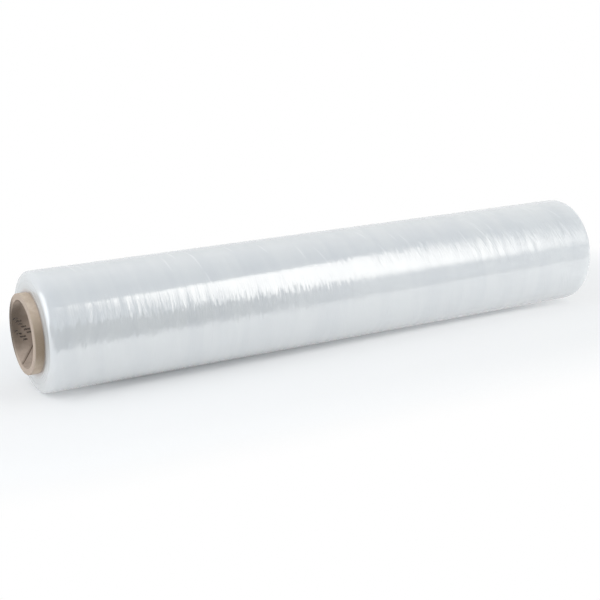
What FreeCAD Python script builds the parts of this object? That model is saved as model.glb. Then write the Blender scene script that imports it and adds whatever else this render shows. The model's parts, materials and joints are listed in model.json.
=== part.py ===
# Stretch wrap roll lying on its side: film wound on a spiral-wound cardboard core.
# Millimetres. X runs along the roll's axis, Z is up, and the origin is on the floor under
# the middle of the roll, in the small flat spot that the soft film rests on.
import FreeCAD, Part
import math
import os
import Sketcher

DRIVING_SIZES = [
    ("film_width", 500.0, "width of the film, along the roll"),
    ("film_diameter", 90.8, "outside of the wound film"),
    ("shoulder_radius", 4.5, "rounding where the film's side turns into its end"),
    ("rest_width", 10.0, "width of the flat spot under the film"),
    ("turn_groove_count", 9, "grooves between groups of turns, on each end of the film"),
    ("turn_groove_depth", 0.22, "depth of such a V groove, and half its width"),
    ("core_bore", 50.8, "inside of the cardboard core"),
    ("core_wall", 4.8, "thickness of the core's board"),
    ("core_stickout", 7.0, "how far the core stands out of the film at each end"),
    ("core_edge_radius", 0.5, "rounding of the core's cut edges"),
    ("ply_width", 99.0, "width of the paper strips that the core is wound from"),
    ("seam_gap", 0.5, "gap between neighbouring turns of a strip"),
    ("seam_depth", 0.3, "depth of that gap, which is one strip's thickness"),
    ("liner_seam_offset", 67.9, "from the near end back to where the inner seam would be on top"),
    ("cover_seam_offset", 94.0, "the same for the seam on the core's outside"),
]

# The same sizes in expressions, for what is worked out from them
FILM_RADIUS = "Sizes.film_diameter / 2"
FILM_END = "Sizes.film_width / 2"
BORE_RADIUS = "Sizes.core_bore / 2"
CORE_RADIUS = "(Sizes.core_bore / 2 + Sizes.core_wall)"
CORE_END = "(Sizes.film_width / 2 + Sizes.core_stickout)"
AXIS_HEIGHT = "sqrt((Sizes.film_diameter / 2)^2 - (Sizes.rest_width / 2)^2)"

FULL_TURN = 360.0  # degrees
TOOL_OVERRUN = 2.0  # how far a cutting tool reaches past what it cuts
UNEVEN_SHARE = 0.15  # how much the groups of turns differ in thickness
UNEVEN_STEP = 2.4  # radians from one group to the next in the wave that makes them differ
GROOVE_OVERRUN = 0.25  # how far a groove's cutter stands out of the end, in groove depths
TINY = 1e-6  # millimetres

doc = FreeCAD.newDocument("stretch_wrap_roll")


def make_sheet():
    """The sheet of driving sizes, each with its alias and a note."""
    sheet = doc.addObject("Spreadsheet::Sheet", "Sizes")
    for row, (alias, value, note) in enumerate(DRIVING_SIZES, start=1):
        sheet.set(f"A{row}", alias)
        sheet.set(f"B{row}", str(value))
        sheet.set(f"C{row}", note)
        sheet.setAlias(f"B{row}", alias)
    doc.recompute()
    return sheet


def origin_plane(body, role):
    """The body's own origin plane of that role."""
    return next(f for f in body.Origin.OriginFeatures if f.Role == role)


def new_sketch(body, name, role="XZ_Plane"):
    """An empty sketch on one of the body's origin planes."""
    sketch = body.newObject("Sketcher::SketchObject", name)
    sketch.AttachmentSupport = [(origin_plane(body, role), "")]
    sketch.MapMode = "FlatFace"
    return sketch


def bind(sketch, constraint, expression):
    """Adds a size to the sketch that follows the expression."""
    index = sketch.addConstraint(constraint)
    sketch.setExpression(f"Constraints[{index}]", expression)


def add_outline(sketch, corners):
    """A closed outline of straight lines; each corner is a pair of expressions, x and y."""
    points = []
    for corner in corners:
        values = [sketch.evalExpression(place) for place in corner]
        points.append(FreeCAD.Vector(*(float(getattr(v, "Value", v)) for v in values)))
    count = len(points)
    for n in range(count):
        sketch.addGeometry(Part.LineSegment(points[n], points[(n + 1) % count]), False)
    lines = range(sketch.GeometryCount - count, sketch.GeometryCount)
    for n, line in enumerate(lines):
        sketch.addConstraint(Sketcher.Constraint("Coincident", line, 2, lines[(n + 1) % count], 1))
    for line, point, (x, y) in zip(lines, points, corners):
        bind(sketch, Sketcher.Constraint("DistanceX", -1, 1, line, 1, point.x), x)
        bind(sketch, Sketcher.Constraint("DistanceY", -1, 1, line, 1, point.y), y)


def add_rectangle(sketch, left, right, low, high):
    """A rectangle whose sides follow the four expressions, which are places in the sketch."""
    add_outline(sketch, [(left, low), (right, low), (right, high), (left, high)])


def revolve(body, kind, name, sketch):
    """Turns the sketch about the roll's axis, to add (Revolution) or to cut (Groove)."""
    feature = body.newObject(f"PartDesign::{kind}", name)
    feature.Profile = sketch
    feature.ReferenceAxis = (sketch, ["H_Axis"])
    feature.Angle = FULL_TURN
    doc.recompute()
    return feature


def round_circles(body, name, base, radii, rounding):
    """Fillets the base's full circles of those radii."""
    edges = [
        f"Edge{number}"
        for number, edge in enumerate(base.Shape.Edges, start=1)
        if isinstance(edge.Curve, Part.Circle)
        and any(abs(edge.Curve.Radius - radius) < TINY for radius in radii)
    ]
    feature = body.newObject("PartDesign::Fillet", name)
    feature.Base = (base, edges)
    feature.setExpression("Radius", rounding)
    doc.recompute()
    return feature


def check_cut(name, before, after, expected):
    """Stops if a cut took away much more or less than it should."""
    taken = before.Shape.Volume - after.Shape.Volume
    print(f"{name}: cut {taken:.1f} mm3, about {expected:.1f} expected")
    if not 0.8 * expected < taken < 1.2 * expected:
        raise RuntimeError(f"{name} cut {taken} mm3 and not {expected}")


def cut_seam(body, name, base, offset, radius, low, high):
    """A helical gap between the turns of one paper strip, from radius low to radius high."""
    sketch = new_sketch(body, f"{name}_section")
    start = f"-{CORE_END} - Sizes.{offset}"
    add_rectangle(
        sketch, f"{start} - Sizes.seam_gap / 2", f"{start} + Sizes.seam_gap / 2", low, high
    )
    seam = body.newObject("PartDesign::SubtractiveHelix", name)
    seam.Profile = sketch
    seam.ReferenceAxis = (sketch, ["H_Axis"])
    seam.Mode = "pitch-height-angle"
    # A strip of width w on a tube of girth g advances by w * g / sqrt(g^2 - w^2) in each turn
    girth = f"(2 * pi * {BORE_RADIUS})"
    slant = f"sqrt({girth}^2 - Sizes.ply_width^2)"
    seam.setExpression("Pitch", f"Sizes.ply_width * {girth} / {slant}")
    seam.setExpression("Height", f"2 * {CORE_END} + Sizes.{offset} + {TOOL_OVERRUN}")
    seam.LeftHanded = False
    seam.Reversed = False
    doc.recompute()
    turns = 2 * core_end / float(seam.Pitch)
    section = sheet.seam_gap * sheet.seam_depth
    check_cut(name, base, seam, section * 2 * math.pi * radius * turns)
    return seam


def make_core():
    """The cardboard core: a tube of spirally wound paper, open right through."""
    body = doc.addObject("PartDesign::Body", "cardboard_core")
    section = new_sketch(body, "core_section")
    add_rectangle(section, f"-{CORE_END}", CORE_END, BORE_RADIUS, CORE_RADIUS)
    tube = revolve(body, "Revolution", "core_tube", section)
    cut_edges = round_circles(
        body, "core_edges", tube, (bore_radius, core_radius), "Sizes.core_edge_radius"
    )
    liner = cut_seam(
        body,
        "liner_seam",
        cut_edges,
        "liner_seam_offset",
        bore_radius + sheet.seam_depth / 2,
        f"{BORE_RADIUS} - Sizes.seam_depth",
        f"{BORE_RADIUS} + Sizes.seam_depth",
    )
    cut_seam(
        body,
        "cover_seam",
        liner,
        "cover_seam_offset",
        core_radius - sheet.seam_depth / 2,
        f"{CORE_RADIUS} - Sizes.seam_depth",
        f"{CORE_RADIUS} + Sizes.seam_depth",
    )
    body.setExpression("Placement.Base.z", AXIS_HEIGHT)
    return body


def cut_turn_grooves(body, base):
    """Fine V grooves round both ends of the film, where groups of its turns part."""
    sketch = new_sketch(body, "turn_groove_sections")
    count = int(sheet.turn_groove_count)
    flat_end = film_radius - sheet.shoulder_radius - core_radius
    depth = "Sizes.turn_groove_depth"
    expected = 0.0
    for n in range(count):
        share = (n + 1 + UNEVEN_SHARE * math.sin(UNEVEN_STEP * n)) / (count + 1)
        radius = f"{CORE_RADIUS} + {share} * ({FILM_RADIUS} - Sizes.shoulder_radius - {CORE_RADIUS})"
        mouth = f"-{FILM_END} - {GROOVE_OVERRUN} * {depth}"
        half_width = f"(1 + {GROOVE_OVERRUN}) * {depth}"
        add_outline(
            sketch,
            [
                (f"-{FILM_END} + {depth}", radius),
                (mouth, f"{radius} + {half_width}"),
                (mouth, f"{radius} - {half_width}"),
            ],
        )
        expected += sheet.turn_groove_depth**2 * 2 * math.pi * (core_radius + share * flat_end)
    near = revolve(body, "Groove", "turn_grooves_near", sketch)
    check_cut("turn_grooves_near", base, near, expected)
    far = body.newObject("PartDesign::Mirrored", "turn_grooves_far")
    far.Originals = [near]
    far.MirrorPlane = (origin_plane(body, "YZ_Plane"), [""])
    body.Tip = far
    doc.recompute()
    check_cut("turn_grooves_far", near, far, expected)
    return far


def cut_flat_spot(body, base):
    """The small flat spot that the film gets where the roll rests on it."""
    sketch = new_sketch(body, "flat_spot_section", "YZ_Plane")
    side = f"({FILM_RADIUS} + {TOOL_OVERRUN})"
    add_rectangle(sketch, f"-{side}", side, f"-{side}", f"-{AXIS_HEIGHT}")
    flat = body.newObject("PartDesign::Pocket", "flat_spot")
    flat.Profile = sketch
    flat.SideType = "Symmetric"
    flat.setExpression("Length", f"2 * {FILM_END} + 2 * {TOOL_OVERRUN}")
    doc.recompute()
    half_angle = math.asin(sheet.rest_width / sheet.film_diameter)
    sliver = film_radius**2 * (half_angle - math.sin(2 * half_angle) / 2)
    check_cut("flat_spot", base, flat, sliver * sheet.film_width)
    return flat


def make_film():
    """All the turns of the film, as the one solid that they make wound tight on the core."""
    body = doc.addObject("PartDesign::Body", "wound_film")
    section = new_sketch(body, "film_section")
    add_rectangle(section, f"-{FILM_END}", FILM_END, CORE_RADIUS, FILM_RADIUS)
    wound = revolve(body, "Revolution", "film_turns", section)
    shoulders = round_circles(
        body, "film_shoulders", wound, (film_radius,), "Sizes.shoulder_radius"
    )
    grooves = cut_turn_grooves(body, shoulders)
    cut_flat_spot(body, grooves)
    body.setExpression("Placement.Base.z", AXIS_HEIGHT)
    return body


def check_and_write(bodies):
    """Stops on any failed object or bad solid, then writes each body to parts."""
    doc.recompute()
    for item in doc.Objects:
        if "Invalid" in item.State or "Error" in item.State:
            raise RuntimeError(f"{item.Label} failed: {item.State}")
    os.makedirs("parts", exist_ok=True)
    for body in bodies:
        shape = body.Shape
        if shape.isNull() or not shape.isValid() or len(shape.Solids) != 1:
            raise RuntimeError(f"{body.Label} is not one valid solid")
        shape.exportStep(f"parts/{body.Label}.step")
        print(f"{body.Label}: {shape.Volume / 1000:.1f} cm3")


sheet = make_sheet()
film_radius = sheet.film_diameter / 2
film_end = sheet.film_width / 2
bore_radius = sheet.core_bore / 2
core_radius = bore_radius + sheet.core_wall
core_end = film_end + sheet.core_stickout

check_and_write([make_core(), make_film()])
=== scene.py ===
import json
import math
import random

import bmesh
import bpy
import numpy as np
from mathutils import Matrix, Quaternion, Vector


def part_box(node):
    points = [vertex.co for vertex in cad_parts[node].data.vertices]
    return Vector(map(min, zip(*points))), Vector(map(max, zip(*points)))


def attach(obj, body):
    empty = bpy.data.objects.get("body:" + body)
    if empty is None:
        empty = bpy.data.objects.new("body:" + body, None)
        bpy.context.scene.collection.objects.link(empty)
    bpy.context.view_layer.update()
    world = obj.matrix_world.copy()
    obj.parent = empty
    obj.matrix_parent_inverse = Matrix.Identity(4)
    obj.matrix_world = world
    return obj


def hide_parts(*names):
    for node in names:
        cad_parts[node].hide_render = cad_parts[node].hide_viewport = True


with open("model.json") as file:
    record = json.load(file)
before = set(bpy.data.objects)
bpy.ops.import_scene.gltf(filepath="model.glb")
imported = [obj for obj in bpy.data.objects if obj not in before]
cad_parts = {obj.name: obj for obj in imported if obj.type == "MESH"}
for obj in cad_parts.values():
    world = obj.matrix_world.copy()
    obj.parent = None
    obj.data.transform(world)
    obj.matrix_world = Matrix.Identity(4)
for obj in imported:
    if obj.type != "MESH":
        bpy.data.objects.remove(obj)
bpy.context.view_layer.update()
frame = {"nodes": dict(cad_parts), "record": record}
filmLow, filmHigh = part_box("wound_film")
coreLow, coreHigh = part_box("cardboard_core")
boreMount = next(m for m in frame["record"]["mounts"] if m["name"] == "core_bore")

# Places that everything below is worked out from
axisHeight = boreMount["pos_m"][2]
boreRadius = boreMount["dims"]["r_mm"] / 1000
coreRadius = (coreHigh.z - coreLow.z) / 2
filmRadius = filmHigh.z - axisHeight
filmEnd = filmHigh.x
coreEnd = coreHigh.x
tiny = 1e-6
print("frame: film radius", round(filmRadius, 5), "core radius", round(coreRadius, 5))


# Small helpers for shader trees and pieces

def addNode(tree, kind, **settings):
    node = tree.nodes.new(kind)
    for name, value in settings.items():
        if name in node.inputs:
            node.inputs[name].default_value = value
        else:
            setattr(node, name, value)
    return node


def link(tree, output, target):
    tree.links.new(output, target)


def mathNode(tree, operation, first, second=0.0):
    node = addNode(tree, "ShaderNodeMath", operation=operation)
    for socket, value in zip(node.inputs, (first, second)):
        if isinstance(value, (int, float)):
            socket.default_value = value
        else:
            link(tree, value, socket)
    return node.outputs[0]


def product(tree, first, second):
    return mathNode(tree, "MULTIPLY", first, second)


def less(tree, first, second):
    return mathNode(tree, "SUBTRACT", first, second)


def magnitude(tree, value):
    return mathNode(tree, "ABSOLUTE", value)


def remap(tree, value, fromLow, fromHigh, toLow=0.0, toHigh=1.0, smooth=True):
    node = addNode(tree, "ShaderNodeMapRange", clamp=True)
    node.interpolation_type = "SMOOTHSTEP" if smooth else "LINEAR"
    for socket, number in zip(node.inputs[1:5], (fromLow, fromHigh, toLow, toHigh)):
        socket.default_value = number
    link(tree, value, node.inputs["Value"])
    return node.outputs["Result"]


def mixColor(tree, factor, first, second):
    node = addNode(tree, "ShaderNodeMix", data_type="RGBA")
    for socket, value in zip((node.inputs[0], node.inputs[6], node.inputs[7]), (factor, first, second)):
        if isinstance(value, bpy.types.NodeSocket):
            link(tree, value, socket)
        else:
            socket.default_value = value
    return node.outputs[2]


def splitPoint(tree):  # X, Y and Z of the place on the finished roll or on the stage
    split = addNode(tree, "ShaderNodeSeparateXYZ")
    place = addNode(tree, "ShaderNodeTexCoord")
    link(tree, place.outputs["Object"], split.inputs[0])
    return split.outputs


def radiusFromAxis(tree):  # distance from the roll's axis
    split = splitPoint(tree)
    flat = addNode(tree, "ShaderNodeCombineXYZ")
    link(tree, split["Y"], flat.inputs["Y"])
    link(tree, less(tree, split["Z"], axisHeight), flat.inputs["Z"])
    length = addNode(tree, "ShaderNodeVectorMath", operation="LENGTH")
    link(tree, flat.outputs[0], length.inputs[0])
    return length.outputs["Value"]


def newMaterial(name):
    material = bpy.data.materials.new(name)
    material.use_nodes = True
    tree = material.node_tree
    return material, tree, tree.nodes["Principled BSDF"]


def emptyMaterial(name):  # one with nothing but its output
    material, tree, _ = newMaterial(name)
    tree.nodes.clear()
    return material, tree, addNode(tree, "ShaderNodeOutputMaterial")


def newPiece(name, bm, material):
    mesh = bpy.data.meshes.new(name)
    bm.to_mesh(mesh)
    bm.free()
    mesh.materials.append(material)
    piece = bpy.data.objects.new(name, mesh)
    bpy.context.scene.collection.objects.link(piece)
    return piece


def newGroup(name, inputs, outputs):
    tree = bpy.data.node_groups.new(name, "ShaderNodeTree")
    for socketName, kind, value in inputs:
        socket = tree.interface.new_socket(socketName, in_out="INPUT", socket_type=kind)
        socket.default_value = value
    for socketName, kind in outputs:
        tree.interface.new_socket(socketName, in_out="OUTPUT", socket_type=kind)
    return tree, tree.nodes.new("NodeGroupInput"), tree.nodes.new("NodeGroupOutput")


def placeGroup(tree, group, **values):
    node = tree.nodes.new("ShaderNodeGroup")
    node.node_tree = group
    for name, value in values.items():
        node.inputs[name].default_value = value
    return node


# Streaks that run round the roll, leaning a little along it
def makeWindingStreaks():
    number = "NodeSocketFloat"
    tree, given, result = newGroup(
        "windingStreaks",
        (("Along", number, 600.0), ("Around", number, 12.0), ("Lean", number, 0.1),
         ("Offset", number, 0.0), ("Low", number, 0.4), ("High", number, 0.7)),
        (("Mask", number), ("Height", number)),
    )
    place = addNode(tree, "ShaderNodeTexCoord")
    lean = addNode(tree, "ShaderNodeCombineXYZ")
    link(tree, given.outputs["Lean"], lean.inputs["Y"])
    turned = addNode(tree, "ShaderNodeMapping", vector_type="POINT")
    shift = addNode(tree, "ShaderNodeCombineXYZ")
    link(tree, given.outputs["Offset"], shift.inputs["X"])
    link(tree, place.outputs["Object"], turned.inputs["Vector"])
    link(tree, lean.outputs[0], turned.inputs["Rotation"])
    link(tree, shift.outputs[0], turned.inputs["Location"])
    stretch = addNode(tree, "ShaderNodeCombineXYZ")
    link(tree, given.outputs["Along"], stretch.inputs["X"])
    link(tree, given.outputs["Around"], stretch.inputs["Y"])
    link(tree, given.outputs["Around"], stretch.inputs["Z"])
    scaled = addNode(tree, "ShaderNodeVectorMath", operation="MULTIPLY")
    link(tree, turned.outputs[0], scaled.inputs[0])
    link(tree, stretch.outputs[0], scaled.inputs[1])
    noise = addNode(tree, "ShaderNodeTexNoise", Scale=1.0, Detail=2.0, Roughness=0.55)
    link(tree, scaled.outputs[0], noise.inputs["Vector"])
    edge = addNode(tree, "ShaderNodeMapRange", interpolation_type="SMOOTHSTEP")
    link(tree, noise.outputs["Fac"], edge.inputs["Value"])
    link(tree, given.outputs["Low"], edge.inputs["From Min"])
    link(tree, given.outputs["High"], edge.inputs["From Max"])
    link(tree, edge.outputs["Result"], result.inputs["Mask"])
    link(tree, noise.outputs["Fac"], result.inputs["Height"])
    return tree


# Paper fibres: fine flecks and slow patches
def makePaperFibre():
    number = "NodeSocketFloat"
    tree, given, result = newGroup(
        "paperFibre",
        (("Fineness", number, 2500.0), ("Patches", number, 90.0)),
        (("Flecks", number), ("Patch", number), ("Height", number)),
    )
    place = addNode(tree, "ShaderNodeTexCoord")
    fine = addNode(tree, "ShaderNodeTexNoise", Detail=3.0, Roughness=0.65, Distortion=0.6)
    link(tree, place.outputs["Object"], fine.inputs["Vector"])
    link(tree, given.outputs["Fineness"], fine.inputs["Scale"])
    slow = addNode(tree, "ShaderNodeTexNoise", Detail=4.0, Roughness=0.6)
    link(tree, place.outputs["Object"], slow.inputs["Vector"])
    link(tree, given.outputs["Patches"], slow.inputs["Scale"])
    link(tree, remap(tree, fine.outputs["Fac"], 0.42, 0.68), result.inputs["Flecks"])
    link(tree, remap(tree, slow.outputs["Fac"], 0.35, 0.65), result.inputs["Patch"])
    link(tree, fine.outputs["Fac"], result.inputs["Height"])
    return tree


# A normal that wavers round the roll only, as over many fine wrinkles
def makeAroundTilt():
    number = "NodeSocketFloat"
    tree, given, result = newGroup(
        "aroundTilt",
        (("Along", number, 900.0), ("Around", number, 220.0), ("LeanNear", number, 0.0),
         ("LeanFar", number, 0.5), ("Amount", number, 0.2)),
        (("Normal", "NodeSocketVector"),),
    )
    split = splitPoint(tree)
    lean = addNode(tree, "ShaderNodeMapRange")
    link(tree, split["X"], lean.inputs["Value"])
    lean.inputs["From Min"].default_value = -filmEnd
    lean.inputs["From Max"].default_value = filmEnd
    link(tree, given.outputs["LeanNear"], lean.inputs["To Min"])
    link(tree, given.outputs["LeanFar"], lean.inputs["To Max"])
    leant = mathNode(tree, "ADD", split["X"], product(tree, split["Z"], lean.outputs["Result"]))
    scaled = addNode(tree, "ShaderNodeCombineXYZ")
    link(tree, product(tree, leant, given.outputs["Along"]), scaled.inputs["X"])
    link(tree, product(tree, split["Y"], given.outputs["Around"]), scaled.inputs["Y"])
    link(tree, product(tree, split["Z"], given.outputs["Around"]), scaled.inputs["Z"])
    noise = addNode(tree, "ShaderNodeTexNoise", Scale=1.0, Detail=2.0, Roughness=0.6)
    link(tree, scaled.outputs[0], noise.inputs["Vector"])
    wave = less(tree, noise.outputs["Fac"], 0.5)
    surface = addNode(tree, "ShaderNodeNewGeometry")
    around = addNode(tree, "ShaderNodeVectorMath", operation="CROSS_PRODUCT")
    link(tree, surface.outputs["Normal"], around.inputs[0])
    around.inputs[1].default_value = (1.0, 0.0, 0.0)
    push = addNode(tree, "ShaderNodeVectorMath", operation="SCALE")
    link(tree, around.outputs[0], push.inputs[0])
    link(tree, product(tree, wave, given.outputs["Amount"]), push.inputs["Scale"])
    leaning = addNode(tree, "ShaderNodeVectorMath", operation="ADD")
    link(tree, surface.outputs["Normal"], leaning.inputs[0])
    link(tree, push.outputs[0], leaning.inputs[1])
    unit = addNode(tree, "ShaderNodeVectorMath", operation="NORMALIZE")
    link(tree, leaning.outputs[0], unit.inputs[0])
    link(tree, unit.outputs[0], result.inputs["Normal"])
    return tree


windingStreaks = makeWindingStreaks()
paperFibre = makePaperFibre()
aroundTilt = makeAroundTilt()
print("shared effects: made")


# The wound film

film = {
    "aroundSteps": 128,
    "alongCuts": 680,
    "shoulder": 0.0045,
    "shoulderSteps": 6,
    "sharpFrom": 50.0,  # degrees between faces from which an edge is sharp
    "shoulderReach": 0.0058,  # how far in along the end face the shoulder's rounding starts
    "endRings": 20,
    "turnStep": 0.00012,  # how far groups of turns stand out of the ends
    "turnSwing": 0.5,  # and how much and how often that changes on the way round
    "turnWave": 0.05,
    "bandCount": 14,  # slow bands of tighter and looser film
    "bandHeight": 0.000012,
    "bandLength": (0.006, 0.05),
    "bandSwing": (0.3, 1.5),
    "fibreHeight": 0.000012,  # fine fibres, upright at the near end and slanted at the far end
    "fibreSpread": 7,
    "creaseCount": 2400,
    "creaseHeight": (0.00002, 0.0001),
    "creaseSigns": (1, 1, -0.6),  # two stand out for one that is pressed in
    "creaseWidth": (0.0005, 0.0010),
    "creaseLength": (0.006, 0.036),
    "creaseShorter": (0.4, 1.0),  # and the share of that length that is left of one
    "creaseLean": (-0.06, 0.5),  # at the near end and at the far end
    "creaseDrift": 0.15,
    "creaseBend": 3.0,
    "creaseHighlightFrom": 0.75,  # share of the greatest height from which they get a painted highlight too
    "hairCount": 44,  # a few thin creases over the top, with a painted highlight
    "hairTurns": (0.07, 0.39),  # the part of a turn they lie on, from the back over to the front
    "hairHeight": 0.00006,
    "hairWidth": 0.00055,
    "hairLength": (0.008, 0.017),
    "hairLean": (0.08, 0.45),
    "hairDrift": 0.06,
    # strength of the hairs' painted highlight
    "hairHighlight": 2.7,
    "calm": (0.02, 0.09, 0.65),  # middle, reach and strength of the smoother stretch along X
    "wrinkledHeights": (0.062, 0.072),  # most below these at the near end, and above at the far end
    "wrinkledTurns": (-0.08, 0.10),  # where along X the one becomes the other
    "wrinkledMiddle": 0.062,  # the height round which the film is wrinkled most
    "wrinkledReach": (0.016, 0.025),  # distances from it over which that goes down
    "wrinkledLeft": 0.3,  # and the share that is left
    "smoothest": 0.2,  # share of the wrinkles' height where the film is smoothest
    "seed": 11,
    "milkShade": (0.595, 0.627, 0.652, 1.0),
    "milkLight": (0.622, 0.653, 0.672, 1.0),
    # painted highlight on the sharpest creases and the hairs: its colour and share
    "creaseHighlightColor": (0.84, 0.86, 0.87, 1.0),
    "creaseHighlightShare": 0.14,
    "coreTint": (0.50, 0.45, 0.43, 1.0),
    "tintReach": 0.004,
    "ior": 2.5,  # many thin layers mirror more than one
    "roughness": (0.07, 0.16),
    "coat": 0.4,
    "coatRoughness": 0.08,
    "slowStreaks": {"Along": 60.0, "Around": 9.0, "Lean": 0.12, "Low": 0.35, "High": 0.65},
    "fineStreaks": {
        "Along": 900.0, "Around": 14.0, "Lean": 0.0, "Offset": 3.1, "Low": 0.5, "High": 0.75,
    },
    "crossStreaks": {
        "Along": 600.0, "Around": 22.0, "Lean": 0.42, "Offset": 7.7, "Low": 0.52, "High": 0.8,
    },
    "crossNear": 0.3,  # share of the crossing streaks at the near end
    "bumpStrength": 0.5,
    "bumpDepth": 0.00016,
    "waver": {"Along": 950.0, "Around": 150.0, "LeanNear": -0.28, "LeanFar": 0.55},
    "waverAmount": (0.08, 0.60),  # how much the normal wavers round the roll
    "depthOfLight": 0.018,  # how far light spreads inside the turns
    "spread": 0.6,
}


def filmBlank():  # the roll of film before its wrinkles, about an axis at Z = 0
    bm = bmesh.new()
    corners = (
        (-filmEnd, coreRadius), (-filmEnd, filmRadius), (filmEnd, filmRadius), (filmEnd, coreRadius),
    )
    verts = [bm.verts.new((x, 0.0, r)) for x, r in corners]
    edges = [bm.edges.new((verts[n], verts[(n + 1) % 4])) for n in range(4)]
    bmesh.ops.spin(
        bm, geom=verts + edges, cent=(0, 0, 0), axis=(1, 0, 0), angle=math.tau,
        steps=film["aroundSteps"], use_merge=True, use_duplicate=False,
    )
    bmesh.ops.remove_doubles(bm, verts=bm.verts, dist=tiny)
    middle = (coreRadius + filmRadius) / 2

    def outside(vert):
        return math.hypot(vert.co.y, vert.co.z) > middle

    def span(edge):  # how far an edge reaches along the roll
        return abs(edge.verts[0].co.x - edge.verts[1].co.x)

    rims = [e for e in bm.edges if all(outside(v) for v in e.verts) and span(e) < tiny]
    bmesh.ops.bevel(
        bm, geom=rims, offset=film["shoulder"], offset_type="OFFSET", segments=film["shoulderSteps"],
        profile=0.5, affect="EDGES", material=-1, clamp_overlap=False,
    )
    long = [e for e in bm.edges if all(outside(v) for v in e.verts) and span(e) > filmEnd]
    bmesh.ops.subdivide_edges(bm, edges=long, cuts=film["alongCuts"], use_grid_fill=True)
    radial = [
        e for e in bm.edges
        if all(abs(abs(v.co.x) - filmEnd) < tiny for v in e.verts)
        and outside(e.verts[0]) != outside(e.verts[1])
    ]
    bmesh.ops.subdivide_edges(bm, edges=radial, cuts=film["endRings"], use_grid_fill=True)
    bmesh.ops.recalc_face_normals(bm, faces=bm.faces)
    return bm


def fibreNoise(rings, around, slant, seed):  # unit noise drawn out round the roll
    noise = np.random.default_rng(seed).normal(size=(rings, around))
    noise = (np.roll(noise, 1, 0) + noise * 2 + np.roll(noise, -1, 0)) / 4
    for _ in range(film["fibreSpread"]):
        ahead = np.roll(noise, (slant, 1), (0, 1))
        behind = np.roll(noise, (-slant, -1), (0, 1))
        noise = (ahead + noise * 2 + behind) / 4
    return noise / noise.std()


def between(value, low, high):
    return np.clip((value - low) / (high - low), 0, 1)


def wrinkledShare(x, z):  # how strongly the film is wrinkled at a place
    higher = between(z, *film["wrinkledHeights"]) * 2 - 1
    farther = between(x, *film["wrinkledTurns"]) * 2 - 1
    away = between(abs(z - film["wrinkledMiddle"]), *film["wrinkledReach"])
    share = film["smoothest"] + (1 - film["smoothest"]) * (0.5 + 0.5 * higher * farther)
    return share * (1 - away * (1 - film["wrinkledLeft"]))


def leanAt(leans, share):  # between the near end's lean and the far end's
    near, far = leans
    return near + (far - near) * share


def bandMap(x, angle, dice):
    bands = 0.0
    for _ in range(film["bandCount"]):
        wave = dice.uniform(*film["bandLength"])
        turns = dice.choice((1, 1, 2, 3))
        phase = dice.uniform(0, math.tau)
        swing = dice.uniform(*film["bandSwing"])
        bands = bands + film["bandHeight"] * np.sin(
            math.tau * x / wave + phase + swing * np.sin(turns * angle + phase)
        )
    return bands


def wrinkleMap(rings, gap, dice):  # heights over the film's side, one row for each ring
    around = film["aroundSteps"]
    arc = math.tau * filmRadius / around
    x = (np.arange(rings) - (rings - 1) / 2)[:, None] * gap
    angle = (np.arange(around) * math.tau / around)[None, :]
    bands = bandMap(x, angle, dice)
    upright = fibreNoise(rings, around, 0, film["seed"])
    slanted = fibreNoise(rings, around, 1, film["seed"] + 1)
    share = np.linspace(0.0, 1.0, rings)[:, None]
    heights = film["fibreHeight"] * (upright * (1 - share) + slanted * share)
    # shares of a painted highlight along the sharpest creases and the hairs
    shown = np.zeros((rings, around))
    highlightFrom = film["creaseHeight"][1] * film["creaseHighlightFrom"]
    calmMiddle, calmReach, calmShare = film["calm"]
    for _ in range(film["creaseCount"]):
        ring = dice.uniform(0, rings - 1)
        step = dice.randrange(around)
        length = dice.uniform(*film["creaseLength"]) * dice.uniform(*film["creaseShorter"])
        height = dice.uniform(*film["creaseHeight"]) * dice.choice(film["creaseSigns"])
        away = ((ring - (rings - 1) / 2) * gap - calmMiddle) / calmReach
        height *= 1 - calmShare * math.exp(-away * away)
        width = dice.uniform(*film["creaseWidth"])
        lean = leanAt(film["creaseLean"], ring / rings) + dice.gauss(0, film["creaseDrift"])
        bend = dice.gauss(0, film["creaseBend"])
        half = max(2, round(length / arc / 2))
        for offset in range(-half, half + 1):
            run = offset * arc
            centre = ring + (lean * run + bend * run * run) / gap
            fade = math.cos(math.pi / 2 * offset / (half + 1)) ** 2
            low = max(0, int(centre - 3 * width / gap))
            high = min(rings - 1, int(centre + 3 * width / gap) + 1)
            for i in range(low, high + 1):
                share = fade * math.exp(-(((i - centre) * gap / width) ** 2))
                heights[i, (step + offset) % around] += height * share
                if height > highlightFrom:
                    shown[i, (step + offset) % around] += share
    wrinkled = wrinkledShare(x, axisHeight + filmRadius * np.sin(angle))
    heights = bands + heights * wrinkled
    shown = shown.clip(0.0, 1.0) * wrinkled
    for _ in range(film["hairCount"]):
        ring = dice.uniform(0, rings - 1)
        step = round(dice.uniform(*film["hairTurns"]) * around)
        half = round(dice.uniform(*film["hairLength"]) / arc / 2)
        lean = leanAt(film["hairLean"], ring / rings) + dice.gauss(0, film["hairDrift"])
        for offset in range(-half, half + 1):
            centre = ring + lean * offset * arc / gap
            fade = math.cos(math.pi / 2 * offset / (half + 1))
            for i in range(max(0, int(centre) - 1), min(rings - 1, int(centre) + 2) + 1):
                share = fade * math.exp(-(((i - centre) * gap / film["hairWidth"]) ** 2))
                heights[i, (step + offset) % around] += film["hairHeight"] * share
                shown[i, (step + offset) % around] += film["hairHighlight"] * share
    return heights, shown


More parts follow.
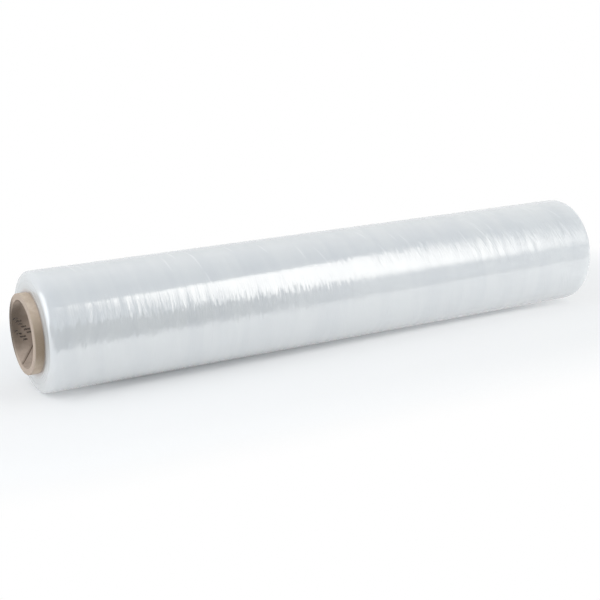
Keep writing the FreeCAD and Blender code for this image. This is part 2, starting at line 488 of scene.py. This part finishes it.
def wrinkleFilm(bm):
    dice = random.Random(film["seed"])
    side = filmEnd - film["shoulder"]
    rings = film["alongCuts"] + 2
    gap = 2 * side / (rings - 1)
    heights, shown = wrinkleMap(rings, gap, dice)
    layer = bm.verts.layers.float.new("paintedCreaseHighlight")
    ends = {s: [dice.gauss(0, film["turnStep"]) for _ in range(film["endRings"] + 2)] for s in (-1, 1)}
    flatEnd = filmRadius - film["shoulder"] - coreRadius
    reach = film["shoulderReach"]
    around = film["aroundSteps"]
    for vert in bm.verts:
        x, y, z = vert.co
        radius = math.hypot(y, z)
        step = round(math.atan2(z, y) / math.tau * around) % around
        turn = min(1.0, max(0.0, (radius - filmRadius + reach) / reach))
        fallen = filmEnd - film["shoulder"] * (1 - math.sqrt(1 - turn * turn))
        if abs(x) > side + tiny:
            vert.co.x = math.copysign(fallen, x)
        if radius > filmRadius - film["shoulder"] * 0.99:
            ring = min(rings - 1, max(0, round((x + side) / gap)))
            slope = (radius - filmRadius + film["shoulder"]) / film["shoulder"]
            grown = 1 + heights[ring, step] * slope / radius
            vert.co.y, vert.co.z = y * grown, z * grown
            vert[layer] = shown[ring, step] * slope
        elif coreRadius * 1.01 < radius:
            sign = 1 if x > 0 else -1
            place = round((radius - coreRadius) / flatEnd * (film["endRings"] + 1))
            swing = math.sin(step * film["turnWave"] * (place % 5) + place)
            push = ends[sign][place] * (1 + film["turnSwing"] * swing)
            vert.co.x = sign * (fallen - abs(push))
    for vert in bm.verts:
        vert.co.z = max(vert.co.z, -axisHeight)


def filmMaterial():
    material, tree, shader = newMaterial("clearFilmWound")
    radius = radiusFromAxis(tree)
    split = splitPoint(tree)
    slow = placeGroup(tree, windingStreaks, **film["slowStreaks"])
    lines = placeGroup(tree, windingStreaks, **film["fineStreaks"])
    cross = placeGroup(tree, windingStreaks, **film["crossStreaks"])
    paintedCreaseHighlight = addNode(tree, "ShaderNodeAttribute", attribute_name="paintedCreaseHighlight")
    plain = mixColor(tree, slow.outputs["Mask"], film["milkShade"], film["milkLight"])
    # painted highlight: the creases' and hairs' base colour turned lighter
    highlightShare = product(tree, paintedCreaseHighlight.outputs["Fac"], film["creaseHighlightShare"])
    milk = mixColor(tree, highlightShare, plain, film["creaseHighlightColor"])
    tint = remap(tree, radius, coreRadius, coreRadius + film["tintReach"], 1.0, 0.0)
    link(tree, mixColor(tree, tint, milk, film["coreTint"]), shader.inputs["Base Color"])
    rough = remap(tree, lines.outputs["Mask"], 0.0, 1.0, *film["roughness"])
    link(tree, rough, shader.inputs["Roughness"])
    fewer = remap(tree, split["X"], *film["wrinkledTurns"], film["crossNear"], 1.0)
    both = mathNode(tree, "ADD", lines.outputs["Height"], product(tree, cross.outputs["Mask"], fewer))
    bump = addNode(tree, "ShaderNodeBump", Strength=film["bumpStrength"], Distance=film["bumpDepth"])
    wrinkled = placeGroup(tree, aroundTilt, **film["waver"])
    higher = remap(tree, split["Z"], *film["wrinkledHeights"], -1.0, 1.0)
    farther = remap(tree, split["X"], *film["wrinkledTurns"], -1.0, 1.0)
    amount = remap(tree, product(tree, higher, farther), -1.0, 1.0, *film["waverAmount"], smooth=False)
    away = magnitude(tree, less(tree, split["Z"], film["wrinkledMiddle"]))
    calmer = remap(tree, away, *film["wrinkledReach"], 1.0, film["wrinkledLeft"])
    link(tree, product(tree, amount, calmer), wrinkled.inputs["Amount"])
    link(tree, wrinkled.outputs["Normal"], bump.inputs["Normal"])
    link(tree, both, bump.inputs["Height"])
    link(tree, bump.outputs["Normal"], shader.inputs["Normal"])
    shader.inputs["IOR"].default_value = film["ior"]
    shader.inputs["Coat Weight"].default_value = film["coat"]
    shader.inputs["Coat Roughness"].default_value = film["coatRoughness"]
    shader.inputs["Subsurface Weight"].default_value = film["spread"]
    shader.inputs["Subsurface Radius"].default_value = (1.0, 1.0, 1.0)
    shader.inputs["Subsurface Scale"].default_value = film["depthOfLight"]
    return material


def buildFilm():
    bm = filmBlank()
    wrinkleFilm(bm)
    bmesh.ops.translate(bm, verts=bm.verts, vec=(0, 0, axisHeight))
    for face in bm.faces:
        face.smooth = True
    for edge in bm.edges:
        if edge.calc_face_angle(0.0) > math.radians(film["sharpFrom"]):
            edge.smooth = False
    piece = newPiece("film_roll", bm, filmMaterial())
    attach(piece, "root")
    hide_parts("wound_film")
    print("film:", len(piece.data.polygons), "faces")


buildFilm()


# The cardboard core

core = {
    "side": (0.62, 0.53, 0.44, 1.0),
    "sideDark": (0.50, 0.41, 0.325, 1.0),
    "sideShadePaint": (0.30, 0.24, 0.175, 1.0),  # painted shade: darker board at the height of the axis
    "sideShadeTurns": (0.005, 0.024),  # and how far over and under the axis it turns light
    "cut": (0.50, 0.42, 0.355, 1.0),
    "cutDark": (0.36, 0.29, 0.24, 1.0),
    "cutDarkerSide": (0.10, 0.08, 0.065, 1.0),  # darker towards +Y, and where along Y it starts and ends
    "cutTurns": (0.013, 0.0275),
    "cutFade": 0.0002,  # how far along the tube the cut's look stays whole
    "rim": 0.0011,  # and how far the pale fuzz of the cut reaches round its edges
    "bore": (0.60, 0.51, 0.44, 1.0),
    "boreDark": (0.43, 0.355, 0.30, 1.0),
    "boreMouthShade": (0.20, 0.165, 0.135, 1.0),  # painted shade in its mouth on the same side
    "boreTurns": (0.014, 0.0255),
    "mouth": (0.003, 0.014),  # depths over which the painted shade in the mouth turns light
    "boreFade": (0.0004, 0.0007),  # depths in the wall over which the bore's look ends
    "plies": 12,
    "plyEdge": (0.3, 1.0),
    "plyShare": 0.6,
    "seamPitch": 0.1226,  # one turn of the seam in the bore
    "seamAngle": -80.0,  # where it leaves the near end, from +Y towards the top
    "seamWidth": 0.0005,
    "seamDark": (0.16, 0.125, 0.10, 1.0),
    "fibre": {"Fineness": 2200.0, "Patches": 110.0},
    "flecks": 0.25,
    "bumpStrength": 0.4,
    "bumpDepth": 0.0001,
    "roughness": 0.82,
    "shine": 0.25,
}


def seamMask(tree, split):  # the edge of the innermost ply, a helix along the bore
    angle = mathNode(tree, "ARCTAN2", less(tree, split["Z"], axisHeight), split["Y"])
    turned = mathNode(tree, "DIVIDE", less(tree, angle, math.radians(core["seamAngle"])), math.tau)
    depth = mathNode(tree, "ADD", split["X"], coreEnd)
    phase = less(tree, turned, mathNode(tree, "DIVIDE", depth, core["seamPitch"]))
    away = magnitude(tree, less(tree, mathNode(tree, "FRACT", phase), 0.5))
    half = core["seamWidth"] / core["seamPitch"]
    return remap(tree, away, 0.5 - 1.5 * half, 0.5 - 0.5 * half)


def borePaint(tree, split, depth, patch, seam):
    paint = mixColor(tree, patch, core["bore"], core["boreDark"])
    # painted shade in the bore's mouth on the +Y side
    mouth = product(
        tree, remap(tree, depth, *core["mouth"], 1.0, 0.0), remap(tree, split["Y"], *core["boreTurns"]),
    )
    paint = mixColor(tree, mouth, paint, core["boreMouthShade"])
    return mixColor(tree, seam, paint, core["seamDark"])


def sidePaint(tree, split, patch):
    # painted shade on the core's side, darkest at the height of the axis
    paint = mixColor(tree, patch, core["side"], core["sideDark"])
    above = less(tree, split["Z"], axisHeight)
    unshaded = remap(tree, magnitude(tree, above), *core["sideShadeTurns"])
    return mixColor(tree, unshaded, core["sideShadePaint"], paint)


def cutPaint(tree, split, radius):
    wall = coreRadius - boreRadius
    ply = product(tree, less(tree, radius, boreRadius), core["plies"] * math.tau / wall)
    plyLine = remap(tree, mathNode(tree, "SINE", ply), *core["plyEdge"])
    paint = mixColor(tree, product(tree, plyLine, core["plyShare"]), core["cut"], core["cutDark"])
    return mixColor(tree, remap(tree, split["Y"], *core["cutTurns"]), paint, core["cutDarkerSide"])


def coreMaterial():
    material, tree, shader = newMaterial("spiralWoundBoard")
    radius = radiusFromAxis(tree)
    split = splitPoint(tree)
    depth = less(tree, coreEnd, magnitude(tree, split["X"]))
    onCut = remap(tree, depth, core["cutFade"], core["rim"], 1.0, 0.0)
    fadeStart, fadeEnd = core["boreFade"]
    onBore = remap(tree, radius, boreRadius + fadeStart, boreRadius + fadeEnd, 1.0, 0.0)
    fibre = placeGroup(tree, paperFibre, **core["fibre"])
    patch = fibre.outputs["Patch"]
    seam = seamMask(tree, split)
    side = sidePaint(tree, split, patch)
    bore = borePaint(tree, split, depth, patch, seam)
    paint = mixColor(tree, onCut, mixColor(tree, onBore, side, bore), cutPaint(tree, split, radius))
    flecks = product(tree, fibre.outputs["Flecks"], core["flecks"])
    link(tree, mixColor(tree, flecks, paint, core["sideDark"]), shader.inputs["Base Color"])
    bump = addNode(tree, "ShaderNodeBump", Strength=core["bumpStrength"], Distance=core["bumpDepth"])
    link(tree, less(tree, fibre.outputs["Height"], product(tree, seam, onBore)), bump.inputs["Height"])
    link(tree, bump.outputs["Normal"], shader.inputs["Normal"])
    shader.inputs["Roughness"].default_value = core["roughness"]
    shader.inputs["Specular IOR Level"].default_value = core["shine"]
    return material


board = coreMaterial()
coreNode = frame["nodes"]["cardboard_core"]
for slotOnCore in coreNode.material_slots:
    slotOnCore.material = board
print("core:", len(coreNode.data.polygons), "faces from the frame")


# Plain dark bars in the bore, where the real core is printed

marks = {
    "ink": (0.022, 0.02, 0.019, 1.0),
    "rows": ((9.0, 0.0010, 6), (-13.0, 0.0012, 4)),  # first bar's angle from +Y and depth, and how many
    "step": (-5.4, 0.0020),  # the same two from one bar to the next
    "bars": ((3.2, 0.0040), (3.2, 0.0048), (3.2, 0.0034)),  # degrees round the bore, and length
    "thickness": 0.00003,
    "solidShare": 0.8,  # how much of that is solid, which leaves them just over the board
    "fibre": {"Fineness": 1800.0, "Patches": 400.0},
    "roughness": 0.7,
}


def markMaterial():
    material, tree, shader = newMaterial("fadedInk")
    fibre = placeGroup(tree, paperFibre, **marks["fibre"])
    worn = mixColor(tree, fibre.outputs["Flecks"], marks["ink"], core["boreDark"])
    link(tree, worn, shader.inputs["Base Color"])
    shader.inputs["Roughness"].default_value = marks["roughness"]
    return material


def buildMarks():
    bm = bmesh.new()
    radius = boreRadius - marks["thickness"]
    for row, (firstAngle, firstDepth, count) in enumerate(marks["rows"]):
        for n in range(count):
            width, length = marks["bars"][(n + 2 * row) % len(marks["bars"])]
            first = math.radians(firstAngle + n * marks["step"][0])
            start = -coreEnd + firstDepth + n * marks["step"][1]
            verts = [
                bm.verts.new((x, radius * math.cos(first), radius * math.sin(first)))
                for x in (start, start + length)
            ]
            edge = bm.edges.new(verts)
            bmesh.ops.spin(
                bm, geom=verts + [edge], cent=(0, 0, 0), axis=(1, 0, 0),
                angle=math.radians(width), steps=2, use_merge=False,
            )
    bmesh.ops.recalc_face_normals(bm, faces=bm.faces)
    bmesh.ops.solidify(bm, geom=bm.faces, thickness=marks["thickness"] * marks["solidShare"])
    bmesh.ops.translate(bm, verts=bm.verts, vec=(0, 0, axisHeight))
    piece = newPiece("bore_bars", bm, markMaterial())
    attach(piece, "root")
    print("marks:", len(piece.data.polygons), "faces")


buildMarks()


# Floor, cards, lamps, world and camera

studio = {
    "floorSize": 6.0,
    "floorColor": (0.93, 0.935, 0.94, 1.0),
    "floorShown": (0.87, 0.885, 0.90, 1.0),  # as the camera sees it beside the roll
    "floorPlain": (0.88, 0.895, 0.905, 1.0),  # what lightens its shadow there
    "floorGlow": (0.40, 0.75),  # and the share of it, at the near and the far end
    "floorMirrored": (0.68, 0.77),
    "contactGlow": (0.30, 0.38),  # what is left of those shares where the roll touches the floor
    "contactMirrored": (0.52, 1.0),
    "contactReach": (0.012, 0.038),  # distances from the axis over which they come back
    "contactHaste": (1.0, 1.45),  # how much sooner the floor's own does, near and far
    "mirrorReach": (0.011, 0.030),
    "contactTurns": (-0.20, 0.22),  # places along X of the near and the far values
    "contactEnds": (0.17, 0.26),  # and where it fades towards the roll's ends
    "pastEnds": (0.0, 0.012),  # distances past an end over which the mirrored floor turns darker
    "pastReach": (0.06, 0.13),  # and over which it comes back
    "pastDark": 0.9,
    "fade": (0.10, 0.20),  # distances from the roll over which the floor turns white
    "fillLow": (0.525, 0.53, 0.535, 1.0),  # light from the sides and from above
    "fillHigh": (0.95, 0.96, 0.97, 1.0),
    "mirrored": (0.88, 0.885, 0.89, 1.0),  # what the film mirrors from behind
    "mirroredFar": (0.98, 0.985, 0.985, 1.0),  # and from behind at the far end
    "farTurns": (0.42, 0.72),  # directions along X over which it turns to that
    "mirroredFront": (0.35, 0.378, 0.425, 1.0),  # and from in front and above
    "mirrorTurns": (-0.15, 0.62),  # where along Y the one becomes the other
    "cardAway": (0.092, 0.275),  # the low dark card's distance from the roll's axis, at its two ends
    "cardHeight": 0.104,
    "cardFoot": (0.0, 0.024),  # heights over which its foot goes from the floor's tone to its own
    "cardFootTone": (0.50, 0.51, 0.52, 1.0),
    "cardReach": 0.7,
    "cardDark": (0.01, 0.01, 0.01, 1.0),
    "cardPale": (0.50, 0.515, 0.545, 1.0),
    "cardTurns": (-0.10, 0.16),  # where along X the card goes from dark to pale
}

# Angles are in degrees, from -Y towards +X and up from the floor
lamps = {
    "keyLamp": {
        "color": (1.0, 0.945, 0.875),
        "azimuth": 38.8,
        "height": 34.0,
        "distance": 1.51,
        "size": (1.17, 1.34),
        "roll": -8.0,
        "power": 8.85,
        "rise": (0.04, 0.28),
        "fall": (0.56, 1.0),
        "low": (0.0, 0.32),
        "high": (0.87, 0.99),
    },
    "sideLamp": {
        "azimuth": -76.0,
        "height": 40.0,
        "distance": 1.3,
        "size": (0.9, 1.0),
        "roll": -37.0,
        "power": 5.6,
        "rise": (0.0, 0.1),
        "fall": (0.9, 1.0),
        "hidden": True,  # not mirrored in the film
    },
    "edgeLamp": {
        "azimuth": -93.0,
        "height": 23.0,
        "distance": 1.3,
        "size": (1.6, 0.8),
        "roll": 45.0,
        "power": 6.0,
        "rise": (0.0, 0.15),
        "fall": (0.7, 1.0),
        "mirroredOnly": True,
    },
    "fillLamp": {
        "azimuth": 42.0,
        "height": 6.0,
        "distance": 1.0,
        "size": (0.6, 0.3),
        "roll": 0.0,
        "power": 2.15,
        "rise": (0.0, 0.1),
        "fall": (0.9, 1.0),
        "hidden": True,
    },
}

view = {
    "lens": 73.6,
    "sensor": 36.0,
    "place": (-0.49906, -0.83628, 0.3277),
    "yaw": 0.5164,  # radians, from +Y towards +X
    "pitch": 0.294,  # and down
}

pureWhite = (1.0, 1.0, 1.0, 1.0)


def anyOf(tree, path, names):
    total = 0.0
    for name in names:
        total = mathNode(tree, "MAXIMUM", path.outputs[name], total)
    return total


def contactShares(tree, along, away):  # shares of the floor's own light by the roll, seen and mirrored
    turns = studio["contactTurns"]
    ends = remap(tree, magnitude(tree, along), *studio["contactEnds"])
    hurried = product(tree, away, remap(tree, along, *turns, *studio["contactHaste"]))
    kept = []
    for distance, reach, shares, most in (
        (hurried, studio["contactReach"], studio["contactGlow"], studio["floorGlow"]),
        (away, studio["mirrorReach"], studio["contactMirrored"], studio["floorMirrored"]),
    ):
        clear = remap(tree, distance, *reach)
        share = remap(tree, along, *turns, *shares)
        lost = product(tree, less(tree, 1.0, share), less(tree, 1.0, ends))
        whole = mathNode(tree, "MAXIMUM", clear, less(tree, 1.0, lost))
        kept.append(product(tree, whole, remap(tree, along, *turns, *most)))
    return kept


def floorMaterial():
    material, tree, output = emptyMaterial("paleFloor")
    path = addNode(tree, "ShaderNodeLightPath")
    camera = path.outputs["Is Camera Ray"]
    matte = addNode(tree, "ShaderNodeBsdfDiffuse")
    link(tree, mixColor(tree, camera, studio["floorColor"], studio["floorShown"]), matte.inputs["Color"])
    split = splitPoint(tree)
    past = less(tree, magnitude(tree, split["X"]), coreEnd)
    flat = addNode(tree, "ShaderNodeCombineXYZ")
    link(tree, mathNode(tree, "MAXIMUM", past, 0.0), flat.inputs["X"])
    link(tree, split["Y"], flat.inputs["Y"])
    length = addNode(tree, "ShaderNodeVectorMath", operation="LENGTH")
    link(tree, flat.outputs[0], length.inputs[0])
    away = length.outputs["Value"]
    far = remap(tree, away, *studio["fade"])
    glow = addNode(tree, "ShaderNodeEmission", Strength=1.0)
    plain = mixColor(tree, far, studio["floorPlain"], pureWhite)
    link(tree, mixColor(tree, camera, studio["mirrored"], plain), glow.inputs["Color"])
    shown, mirrored = contactShares(tree, split["X"], away)
    beyond = product(
        tree, remap(tree, past, *studio["pastEnds"]), remap(tree, away, *studio["pastReach"], 1.0, 0.0),
    )
    darkened = less(tree, 1.0, product(tree, beyond, studio["pastDark"]))
    mirrors = anyOf(tree, path, ("Is Glossy Ray", "Is Transmission Ray"))
    mirroredShare = product(tree, mirrors, product(tree, mirrored, darkened))
    nearShare = mathNode(tree, "ADD", product(tree, camera, shown), mirroredShare)
    seen = anyOf(tree, path, ("Is Camera Ray", "Is Glossy Ray", "Is Transmission Ray"))
    mix = addNode(tree, "ShaderNodeMixShader")
    link(tree, mathNode(tree, "MAXIMUM", nearShare, product(tree, seen, far)), mix.inputs["Fac"])
    link(tree, matte.outputs[0], mix.inputs[1])
    link(tree, glow.outputs[0], mix.inputs[2])
    link(tree, mix.outputs[0], output.inputs["Surface"])
    return material


def buildFloor():
    bm = bmesh.new()
    bmesh.ops.create_grid(bm, x_segments=1, y_segments=1, size=studio["floorSize"])
    floor = newPiece("floor", bm, floorMaterial())


def cardMaterial():
    material, tree, output = emptyMaterial("cardPaint")
    glow = addNode(tree, "ShaderNodeEmission")
    split = splitPoint(tree)
    across = remap(tree, split["X"], *studio["cardTurns"])
    tone = mixColor(tree, across, studio["cardDark"], studio["cardPale"])
    foot = remap(tree, split["Z"], *studio["cardFoot"])
    link(tree, mixColor(tree, foot, studio["cardFootTone"], tone), glow.inputs["Color"])
    link(tree, glow.outputs[0], output.inputs["Surface"])
    return material


def buildCard():  # a low dark card in front, seen only as the dark band under the film's highlight
    bm = bmesh.new()
    near, far = studio["cardAway"]
    reach = studio["cardReach"]
    edge = bm.edges.new([bm.verts.new((-reach, -near, 0.0)), bm.verts.new((reach, -far, 0.0))])
    raised = bmesh.ops.extrude_edge_only(bm, edges=[edge])["geom"]
    top = [v for v in raised if isinstance(v, bmesh.types.BMVert)]
    bmesh.ops.translate(bm, verts=top, vec=(0, 0, studio["cardHeight"]))
    card = newPiece("lowCard", bm, cardMaterial())
    card.visible_camera = False
    card.visible_diffuse = False
    card.visible_shadow = False


def buildWorld():
    world = bpy.data.worlds.new("studio")
    bpy.context.scene.world = world
    world.use_nodes = True
    tree = world.node_tree
    background = tree.nodes["Background"]
    path = addNode(tree, "ShaderNodeLightPath")
    place = addNode(tree, "ShaderNodeTexCoord")
    split = addNode(tree, "ShaderNodeSeparateXYZ")
    link(tree, place.outputs["Generated"], split.inputs[0])
    behind = remap(tree, split.outputs["Y"], *studio["mirrorTurns"], smooth=False)
    farther = remap(tree, split.outputs["X"], *studio["farTurns"])
    back = mixColor(tree, farther, studio["mirrored"], studio["mirroredFar"])
    shown = mixColor(tree, behind, studio["mirroredFront"], back)
    upper = remap(tree, split.outputs["Z"], 0.0, 1.0, smooth=False)
    fill = mixColor(tree, upper, studio["fillLow"], studio["fillHigh"])
    mirrors = anyOf(tree, path, ("Is Glossy Ray", "Is Transmission Ray"))
    lit = mixColor(tree, mirrors, fill, shown)
    whole = mixColor(tree, path.outputs["Is Camera Ray"], lit, pureWhite)
    link(tree, whole, background.inputs["Color"])


def placeAt(azimuth, height, distance, target):
    turn, rise = math.radians(azimuth), math.radians(height)
    flat = math.cos(rise)
    return target + distance * Vector((math.sin(turn) * flat, -math.cos(turn) * flat, math.sin(rise)))


def buildLamp(name, values):
    data = bpy.data.lights.new(name, "AREA")
    data.shape = "RECTANGLE"
    data.size, data.size_y = values["size"]
    data.energy = values["power"]
    data.color = values.get("color", (1.0, 1.0, 1.0))
    data.use_nodes = True
    tree = data.node_tree
    across = addNode(tree, "ShaderNodeNewGeometry")
    split = addNode(tree, "ShaderNodeSeparateXYZ")
    link(tree, across.outputs["Parametric"], split.inputs[0])
    rise = remap(tree, split.outputs["X"], *values["rise"])
    fall = remap(tree, split.outputs["X"], *values["fall"], 1.0, 0.0)
    low = remap(tree, split.outputs["Y"], *values.get("low", (0.0, 0.1)))
    high = remap(tree, split.outputs["Y"], *values.get("high", (0.9, 1.0)), 1.0, 0.0)
    share = rise
    for edge in (fall, low, high):
        share = product(tree, share, edge)
    link(tree, share, tree.nodes["Emission"].inputs["Strength"])
    lamp = bpy.data.objects.new(name, data)
    bpy.context.scene.collection.objects.link(lamp)
    target = Vector((0, 0, axisHeight))
    lamp.location = placeAt(values["azimuth"], values["height"], values["distance"], target)
    lamp.rotation_mode = "QUATERNION"
    facing = (target - lamp.location).to_track_quat("-Z", "Y")
    lamp.rotation_quaternion = facing @ Quaternion((0, 0, 1), math.radians(values["roll"]))
    lamp.visible_camera = False
    lamp.visible_glossy = not values.get("hidden", False)
    lamp.visible_diffuse = not values.get("mirroredOnly", False)


def buildCamera():
    data = bpy.data.cameras.new("view")
    data.lens, data.sensor_width = view["lens"], view["sensor"]
    camera = bpy.data.objects.new("view", data)
    bpy.context.scene.collection.objects.link(camera)
    camera.location = view["place"]
    yaw, pitch = view["yaw"], view["pitch"]
    flat = math.cos(pitch)
    forward = Vector((math.sin(yaw) * flat, math.cos(yaw) * flat, -math.sin(pitch)))
    camera.rotation_mode = "QUATERNION"
    camera.rotation_quaternion = forward.to_track_quat("-Z", "Y")
    bpy.context.scene.camera = camera


buildFloor()
buildCard()
buildWorld()
for lampName, lampValues in lamps.items():
    buildLamp(lampName, lampValues)
buildCamera()
bpy.context.scene.view_settings.view_transform = "Standard"
print("stage: made")
